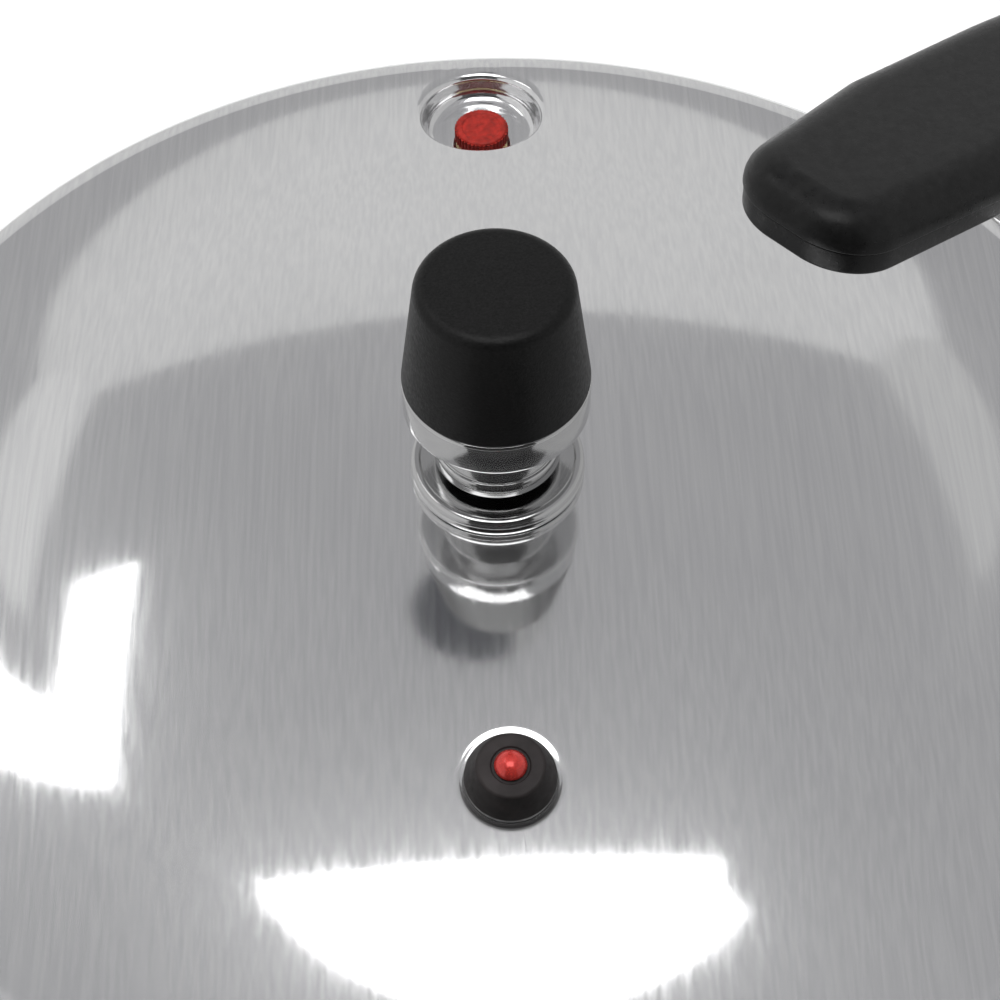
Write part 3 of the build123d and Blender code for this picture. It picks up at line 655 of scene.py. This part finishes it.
# Valve pin ----------------------------------------------------------------------------------------
# A small metal pin with a domed head, coated in bright red lacquer. It stands in the rubber valve
# and rises when the pot is under pressure.
pin_lacquer = plain_material("pin_lacquer", (0.5, 0.035, 0.028), 0.24, 0.55)
vary(pin_lacquer, object_noise(pin_lacquer, 1400), 0.18, 0.34)
tint(pin_lacquer, object_noise(pin_lacquer, 700), (0.42, 0.025, 0.02), (0.6, 0.05, 0.04))
pin_lacquer.node_tree.nodes["Principled BSDF"].inputs["Coat Weight"].default_value = 0.6
pin_lacquer.node_tree.nodes["Principled BSDF"].inputs["Coat Roughness"].default_value = 0.08
head_radius = 2.5
head_bottom = 5.2
head_height = 1.7
head_ball = (head_radius**2 + head_height**2) / (2 * head_height)
head_steps = 12
stem_radius = 1.5
foot_bottom, foot_top = -10.97, -8.97
pin_corners = [
    (0, foot_bottom, 0),
    (head_radius, foot_bottom, 0.3),
    (head_radius, foot_top, 0.3),
    (stem_radius, foot_top, 0.1),
    (stem_radius, head_bottom, 0.05),
    (2.4, head_bottom, 0.08),
]
for step in range(head_steps + 1):
    angle = asin(head_radius / head_ball) * (1 - step / head_steps)
    pin_corners.append((head_ball * sin(angle), head_bottom + head_height - head_ball * (1 - cos(angle)), 0))
pin_piece = finished("valve_pin_turned", turned(pin_corners, valve_place, 96), pin_lacquer)
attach(pin_piece, "pin")
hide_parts("valve_pin")

# Safety button ------------------------------------------------------------------------------------
# A red moulded disc on a thin stem. Its side is knurled so it can be pulled to let pressure out,
# and a spring under the lid holds it down.
button_red = plain_material("button_red", (0.2, 0.012, 0.008), 0.6)
button_red.node_tree.nodes["Principled BSDF"].inputs["Specular IOR Level"].default_value = 0.3
vary(button_red, object_noise(button_red, 1200), 0.5, 0.72)
tint(button_red, object_noise(button_red, 900), (0.13, 0.008, 0.005), (0.26, 0.014, 0.009))
bump(button_red, object_noise(button_red, 1500), 0.00008, 0.7)
button_place = Matrix.Translation((button_centre.x, button_centre.y, dish_floor))
stem_end = -22
stem_size = 1.6
disc_bottom, disc_top = 1.0, 4.0
disc_hollow = 3.82
button_corners = [
    (0, stem_end, 0),
    (stem_size, stem_end, 0.3),
    (stem_size, disc_bottom, 0.1),
    (4.95, disc_bottom, 0.3),
    (5.05, disc_top, 0.5),
    (3.9, disc_top, 0.25),
    (3.7, disc_hollow, 0.2),
    (0, disc_hollow, 0),
]
rib_count = 40
rib_radius = 0.3
rib_length = 2.4
rib_circle = 4.98


def knurl(body, count, radius):
    """Geometry nodes: upright ribs set around the disc, joined with it as one mesh."""
    tree = bpy.data.node_groups.new("knurl", "GeometryNodeTree")
    tree.interface.new_socket("Geometry", in_out="INPUT", socket_type="NodeSocketGeometry")
    tree.interface.new_socket("Rib count", in_out="INPUT", socket_type="NodeSocketInt")
    tree.interface.new_socket("Rib radius", in_out="INPUT", socket_type="NodeSocketFloat")
    tree.interface.new_socket("Geometry", in_out="OUTPUT", socket_type="NodeSocketGeometry")
    entry = tree.nodes.new("NodeGroupInput")
    leave = tree.nodes.new("NodeGroupOutput")
    circle_node = tree.nodes.new("GeometryNodeMeshCircle")
    circle_node.inputs["Radius"].default_value = 0.001 * rib_circle
    rib = tree.nodes.new("GeometryNodeMeshCylinder")
    rib.inputs["Vertices"].default_value = 10
    rib.inputs["Depth"].default_value = 0.001 * rib_length
    move = tree.nodes.new("GeometryNodeTransform")
    rib_middle = Vector((0, 0, 0.0024))
    move.inputs["Translation"].default_value = button_place.translation * 0.001 + rib_middle
    copies = tree.nodes.new("GeometryNodeInstanceOnPoints")
    real = tree.nodes.new("GeometryNodeRealizeInstances")
    join = tree.nodes.new("GeometryNodeJoinGeometry")
    paint = tree.nodes.new("GeometryNodeSetMaterial")
    paint.inputs["Material"].default_value = button_red
    tree.links.new(entry.outputs["Rib count"], circle_node.inputs["Vertices"])
    tree.links.new(entry.outputs["Rib radius"], rib.inputs["Radius"])
    tree.links.new(circle_node.outputs["Mesh"], copies.inputs["Points"])
    tree.links.new(rib.outputs["Mesh"], copies.inputs["Instance"])
    tree.links.new(copies.outputs["Instances"], move.inputs["Geometry"])
    tree.links.new(move.outputs["Geometry"], join.inputs["Geometry"])
    tree.links.new(entry.outputs["Geometry"], join.inputs["Geometry"])
    tree.links.new(join.outputs["Geometry"], real.inputs["Geometry"])
    tree.links.new(real.outputs["Geometry"], paint.inputs["Geometry"])
    tree.links.new(paint.outputs["Geometry"], leave.inputs["Geometry"])
    modifier = body.modifiers.new("knurl", "NODES")
    modifier.node_group = tree
    entries = [item for item in tree.interface.items_tree if item.in_out == "INPUT"]
    sockets = {item.name: item.identifier for item in entries}
    modifier[sockets["Rib count"]] = count
    modifier[sockets["Rib radius"]] = radius * 0.001


def baked(body):
    """Replaces a piece's mesh by the plain mesh its modifiers make."""
    graph = bpy.context.evaluated_depsgraph_get()
    finished_body = body.evaluated_get(graph)
    made = bpy.data.meshes.new_from_object(
        finished_body, preserve_all_data_layers=True, depsgraph=graph
    )
    body.modifiers.clear()
    body.data = made


button_piece = finished("button_knurled", turned(button_corners, button_place, 96), button_red)
knurl(button_piece, rib_count, rib_radius)
baked(button_piece)
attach(button_piece, "button")
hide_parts("safety_button")

# Lid handle ---------------------------------------------------------------------------------------
# Two black phenolic mouldings screwed together around the lid's steel bracket: a crowned upper shell
# and a thinner lower one, a little smaller, so a dark parting line shows between them.
handle_black = plain_material("handle_black", (0.006, 0.006, 0.006), 0.33)
handle_black.node_tree.nodes["Principled BSDF"].inputs["Specular IOR Level"].default_value = 0.22
vary(handle_black, object_noise(handle_black, 1300), 0.26, 0.4)
tint(handle_black, object_noise(handle_black, 500), (0.0045, 0.0045, 0.0045), (0.008, 0.008, 0.008))
bump(handle_black, object_noise(handle_black, 2000, detail=2), 0.00003, 0.45)
handle_circles = [(85.5, 3.575, 13), (115, 0, 19.5), (248.5, 0, 13.5)]
handle_split = 8
handle_gap = 1.2
across = 8


def handle_half_outline():
    """Points and outward directions down one side, from the nose's flat front to the middle of the tail."""
    chain = []
    for degree in range(180, -1, -3):
        angle = radians(degree)
        out = Vector((cos(angle), sin(angle)))
        x, y, size = max(handle_circles, key=lambda c: c[0] * out.x + c[1] * out.y + c[2])
        point = Vector((x, y)) + size * out
        if chain and (point - chain[-1][0]).length > 4:
            start, start_out = chain[-1]
            pieces = int((point - start).length / 3) + 1
            for step in range(1, pieces):
                part = step / pieces
                chain.append((start.lerp(point, part), start_out.lerp(out, part).normalized()))
        chain.append((point, out))
    return chain


def smooth_line(knots):
    """A smooth curve through (x, y) knots, as a function of x."""

    def slope(i):
        low, high = max(i - 1, 0), min(i + 1, len(knots) - 1)
        return (knots[high][1] - knots[low][1]) / (knots[high][0] - knots[low][0])

    def value(x):
        i = max(0, min(len(knots) - 2, sum(x >= knot[0] for knot in knots) - 1))
        (x0, y0), (x1, y1) = knots[i], knots[i + 1]
        t = (x - x0) / (x1 - x0)
        m0, m1 = slope(i) * (x1 - x0), slope(i + 1) * (x1 - x0)
        return (
            (2 * t**3 - 3 * t**2 + 1) * y0 + (t**3 - 2 * t**2 + t) * m0
            + (3 * t**2 - 2 * t**3) * y1 + (t**3 - t**2) * m1
        )

    return value


def straight_line(knots):
    def value(x):
        for (x0, y0), (x1, y1) in zip(knots, knots[1:]):
            if x <= x1:
                return y0 + (y1 - y0) * (x - x0) / (x1 - x0)
        return knots[-1][1]

    return value


handle_top = smooth_line(
    [
        (70.5, apex + 11.4),
        (90, apex + 7.3),
        (118.5, apex + 0.9),
        (150, apex - 6),
        (178, apex - 12.5),
        (218, apex - 12.5),
        (264, apex - 11),
    ]
)
handle_under = straight_line([(70.5, apex - 2.1), (121.7, apex - 12.6), (135.7, 122.5), (270, 122.5)])


def over_lid(x, y):
    """The lower shell's underside: its own line, or the lid's surface with a small gap."""
    radius = hypot(x, y)
    level = handle_under(x)
    if radius <= ledge_radius:
        level = max(level, dome_height(radius) + handle_gap)
    elif radius <= ledge_radius + shoulder + handle_gap:
        rise = sqrt(max(0, (shoulder + handle_gap) ** 2 - (radius - ledge_radius) ** 2))
        level = max(level, ledge_top - shoulder + rise)
    return level


def moulding(top_at, bottom_at, top_round, bottom_round, inset):
    """A handle shell: rings of corners down its rounded side, closed above and below by rows across it."""
    chain = handle_half_outline()
    first = next(i for i, (point, out) in enumerate(chain) if out.x > -0.9999)
    side = [chain[first - 1]] + chain[first:]
    nose = side[0][0]
    front = [(Vector((nose.x, nose.y * (2 * j / across - 1))), Vector((-1, 0))) for j in range(1, across)]
    mirrored = [(Vector((p.x, -p.y)), Vector((out.x, -out.y))) for p, out in side[-2::-1]]
    loop = side + mirrored + front
    mesh = bmesh.new()
    place = Matrix.Rotation(lid_turn, 4, "Z")

    def corner(x, y, z):
        return mesh.verts.new(place @ Vector((x, y, z)) * 0.001)

    rings = []
    steps = 8
    levels = []
    for step in range(steps + 1):
        part = step / steps * pi / 2
        levels.append((top_round * (1 - sin(part)), top_at, -top_round * (1 - cos(part))))
    for step in range(steps + 1):
        part = (1 - step / steps) * pi / 2
        levels.append((bottom_round * (1 - sin(part)), bottom_at, bottom_round * (1 - cos(part))))
    for inward, height_at, shift in levels:
        ring = []
        for point, out in loop:
            here = point - out * (inward + inset)
            ring.append(corner(here.x, here.y, height_at(here.x, here.y) + shift))
        rings.append(ring)
    for upper, lower in zip(rings, rings[1:]):
        join_rings(mesh, upper, lower)
    ends = ((rings[0], top_at, top_round), (rings[-1], bottom_at, bottom_round))
    for ring, height_at, inward in ends:
        count = len(side)
        last = count + len(mirrored) - 1
        rows = [[ring[0]] + ring[:last:-1] + [ring[last]]]
        for index in range(1, count - 1):
            left, right = ring[index], ring[2 * count - 2 - index]
            point, out = side[index]
            here = point - out * (inward + inset)
            row = [left]
            for j in range(1, across):
                y = here.y * (1 - 2 * j / across)
                row.append(corner(here.x, y, height_at(here.x, y)))
            rows.append(row + [right])
        for before, after in zip(rows, rows[1:]):
            for j in range(across):
                mesh.faces.new([before[j], before[j + 1], after[j + 1], after[j]])
        tail = ring[count - 1]
        for j in range(across):
            mesh.faces.new([rows[-1][j], rows[-1][j + 1], tail])
    return mesh


def crest(x, y):
    return handle_top(x)


def parting(x, y):
    return handle_top(x) - handle_split


upper_mesh = moulding(crest, parting, 7.6, 0.3, 0.0)
upper_piece = finished("lid_handle_top", upper_mesh, handle_black, 50)
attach(upper_piece, "lid")
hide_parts("lid_handle_upper")

lower_mesh = moulding(parting, over_lid, 0.4, 1.0, 0.3)
lower_piece = finished("lid_handle_base", lower_mesh, handle_black, 50)
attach(lower_piece, "lid")
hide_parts("lid_handle_lower")
# Both shells stay out of mirror reflections, so the polished lid under them reads clean
upper_piece.visible_glossy = False
lower_piece.visible_glossy = False

# Pot handle and helper handle ---------------------------------------------------------------------
# The pot's handles are phenolic mouldings of the same black, screwed to steel straps.
# The long one lies under the lid's handle when the lid is shut; the short loop is for the other hand.


def dress(material, *names):
    """Gives CAD nodes a material in place of the one they came with."""
    for name in names:
        for entry in nodes[name].material_slots:
            entry.material = material


dress(handle_black, "pot_handle_upper", "pot_handle_lower", "helper_handle")

# Brackets, rivets and screws ----------------------------------------------------------------------
# Straps pressed from steel strip carry the handles. Round-headed aluminium rivets fix them to pot and
# lid, and zinc-plated screws hold the mouldings to them.
strap_steel = plain_material("strap_steel", (0.56, 0.56, 0.55), 0.36, 1.0)
vary(strap_steel, object_noise(strap_steel, 500, (1, 0.1, 1)), 0.28, 0.46)
tint(strap_steel, object_noise(strap_steel, 90), (0.48, 0.48, 0.47), (0.62, 0.62, 0.61))
dress(strap_steel, "pot_bracket", "helper_bracket", "lid_bracket")

rivet_metal = plain_material("rivet_aluminium", (0.8, 0.8, 0.8), 0.3, 1.0)
vary(rivet_metal, object_noise(rivet_metal, 1100), 0.22, 0.42)
tint(rivet_metal, object_noise(rivet_metal, 400), (0.72, 0.72, 0.72), (0.86, 0.86, 0.86))
dress(rivet_metal, "pot_rivets", "helper_rivets", "lid_rivets")

screw_metal = plain_material("screw_zinc", (0.6, 0.6, 0.62), 0.3, 1.0)
vary(screw_metal, object_noise(screw_metal, 1500), 0.22, 0.4)
tint(screw_metal, object_noise(screw_metal, 300), (0.52, 0.52, 0.54), (0.68, 0.68, 0.7))
dress(screw_metal, "pot_handle_screws", "helper_screw", "lid_handle_screws", "safety_spring", "safety_clip")
dress(screw_metal, "weight_needle")

# Gasket and seals ---------------------------------------------------------------------------------
# A moulded ring of grey silicone lies under the lid's shoulder and seals on the pot's rim.
# Two small washers of the same stuff seal the vent pipe and the button's bush.
gasket_grey = plain_material("gasket_grey", (0.4, 0.4, 0.41), 0.5)
vary(gasket_grey, object_noise(gasket_grey, 700), 0.42, 0.6)
tint(gasket_grey, object_noise(gasket_grey, 60), (0.34, 0.34, 0.35), (0.45, 0.45, 0.46))
bump(gasket_grey, ring_noise(gasket_grey, 1500), 0.00002, 0.4)
gasket_corners = [
    (108.5, 130.3, 0.8),
    (117.6, 130.3, 0.8),
    (117.6, 134.2, 0.8),
    (115.0, 136.8, 0.8),
    (109.5, 136.8, 0.5),
    (108.5, 135.8, 0.5),
]
gasket_piece = finished("gasket_ring", turned(gasket_corners, Matrix(), 256, 4), gasket_grey)
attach(gasket_piece, "gasket")
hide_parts("lid_gasket")
dress(gasket_grey, "vent_washer", "safety_washer")

# Nuts and bush ------------------------------------------------------------------------------------
# The vent pipe's nut and the button's bush and nut are turned from brass and left bare.
brass = plain_material("bare_brass", (0.72, 0.56, 0.3), 0.28, 1.0)
vary(brass, object_noise(brass, 900), 0.2, 0.4)
tint(brass, object_noise(brass, 240), (0.6, 0.45, 0.22), (0.78, 0.62, 0.36))
dress(brass, "vent_nut", "safety_nut", "safety_bush")

# Studio -------------------------------------------------------------------------------------------
# A pale floor inside a tent of plain white cloth: a ceiling with a round port, and lighter walls.
# Two bright panels in the ceiling, one overhead and one to the left, light the object softly.
# The front wall and the ceiling's front are kept dark.
tent_turn = Matrix.Rotation(radians(-12.8), 4, "Z")
tent_ceiling = 0.752


def panel(name, corners, strength, colour=(1, 1, 1)):
    """A flat glowing card that the camera does not see; strength varies a little across it."""
    mesh = bmesh.new()
    mesh.faces.new([mesh.verts.new(tent_turn @ Vector(corner)) for corner in corners])
    material = bpy.data.materials.new(name)
    material.use_nodes = True
    tree = material.node_tree
    tree.nodes.clear()
    glow = tree.nodes.new("ShaderNodeEmission")
    glow.inputs["Color"].default_value = (*colour, 1)
    out = tree.nodes.new("ShaderNodeOutputMaterial")
    where = tree.nodes.new("ShaderNodeTexCoord")
    cloth = tree.nodes.new("ShaderNodeTexNoise")
    cloth.inputs["Scale"].default_value = 3.0
    tree.links.new(where.outputs["Object"], cloth.inputs["Vector"])
    convert = tree.nodes.new("ShaderNodeMapRange")
    convert.inputs["To Min"].default_value = strength * 0.94
    convert.inputs["To Max"].default_value = strength * 1.06
    tree.links.new(cloth.outputs["Fac"], convert.inputs["Value"])
    tree.links.new(convert.outputs["Result"], glow.inputs["Strength"])
    tree.links.new(glow.outputs["Emission"], out.inputs["Surface"])
    data = bpy.data.meshes.new(name)
    mesh.to_mesh(data)
    mesh.free()
    data.materials.append(material)
    card = bpy.data.objects.new(name, data)
    collection.objects.link(card)
    card.visible_camera = False


left, right, back, front = -0.527, 0.568, 0.87, -0.75
port_x, port_y, port_radius = -0.009, 0.264, 0.066


def flat(z, x0, y0, x1, y1):
    return [(x0, y0, z), (x1, y0, z), (x1, y1, z), (x0, y1, z)]


def wall(x0, y0, x1, y1):
    return [(x0, y0, 0), (x1, y1, 0), (x1, y1, tent_ceiling), (x0, y0, tent_ceiling)]


panel("ceiling", flat(tent_ceiling, left, front, right, back), 0.36, (0.98, 0.98, 1.0))
panel("wall_back", wall(left, back, right, back), 0.6)
panel("wall_left", wall(left, front, left, back), 0.64)
panel("wall_right", wall(right, front, right, back), 0.5)
panel("wall_front", wall(left, front, right, front), 0.05)
panel("light_over", flat(tent_ceiling - 0.006, -0.3, -0.34, 0.2, -0.003), 2.6)
panel("light_left", flat(tent_ceiling - 0.006, -0.46, 0.05, -0.375, 0.416), 2.6)
panel("dark_front", flat(tent_ceiling - 0.012, left, front, right, -0.345), 0.015)
shade_middle, shade_radius = Vector((-0.1, 0.23)), 0.12
rim_corners, shade_corners = [], []
for angle in even_angles(64):
    corner = Vector((port_x + port_radius * cos(angle), port_y + port_radius * sin(angle)))
    rim_corners.append((corner.x, corner.y, tent_ceiling - 0.008))
    reach = corner - shade_middle
    corner = shade_middle + reach * min(1, shade_radius / reach.length)
    shade_corners.append((corner.x, corner.y, tent_ceiling - 0.01))
panel("port", rim_corners, 0.3)
panel("port_shade", shade_corners, 0.022, (0.8, 0.9, 1.25))


def lamp(name, place, size, power):
    light = bpy.data.lights.new(name, "AREA")
    light.shape = "RECTANGLE"
    light.size, light.size_y = size
    light.energy = power
    holder = bpy.data.objects.new(name, light)
    collection.objects.link(holder)
    holder.location = tent_turn @ Vector(place)
    holder.visible_glossy = False
    holder.visible_camera = False


lamp("lamp_over", (-0.02, 0.05, 0.74), (0.5, 0.25), 4.0)
lamp("lamp_left", (-0.36, 0.28, 0.74), (0.25, 0.27), 2.0)

floor_mesh = bmesh.new()
floor_mesh.faces.new([floor_mesh.verts.new(corner) for corner in flat(0.0, -4, -4, 4, 4)])
floor_white = plain_material("floor_white", (0.9, 0.9, 0.9), 0.8)
tint(floor_white, object_noise(floor_white, 6), (0.88, 0.88, 0.88), (0.93, 0.93, 0.93))
floor = finished("floor", floor_mesh, floor_white)

world = bpy.data.worlds.new("studio")
world.use_nodes = True
world.node_tree.nodes["Background"].inputs["Color"].default_value = (1, 1, 1, 1)
world.node_tree.nodes["Background"].inputs["Strength"].default_value = 0.5
bpy.context.scene.world = world
bpy.context.scene.view_settings.view_transform = "Standard"

camera_data = bpy.data.cameras.new("camera")
camera_data.lens = 81.93
camera_data.sensor_width = 36
camera_data.clip_start = 0.01
camera = bpy.data.objects.new("camera", camera_data)
collection.objects.link(camera)
camera.location = (-0.05975, -0.22695, 0.45137)
camera.rotation_euler = (radians(37.838), radians(0.521), radians(-15.498))
bpy.context.scene.camera = camera

bpy.context.view_layer.update()
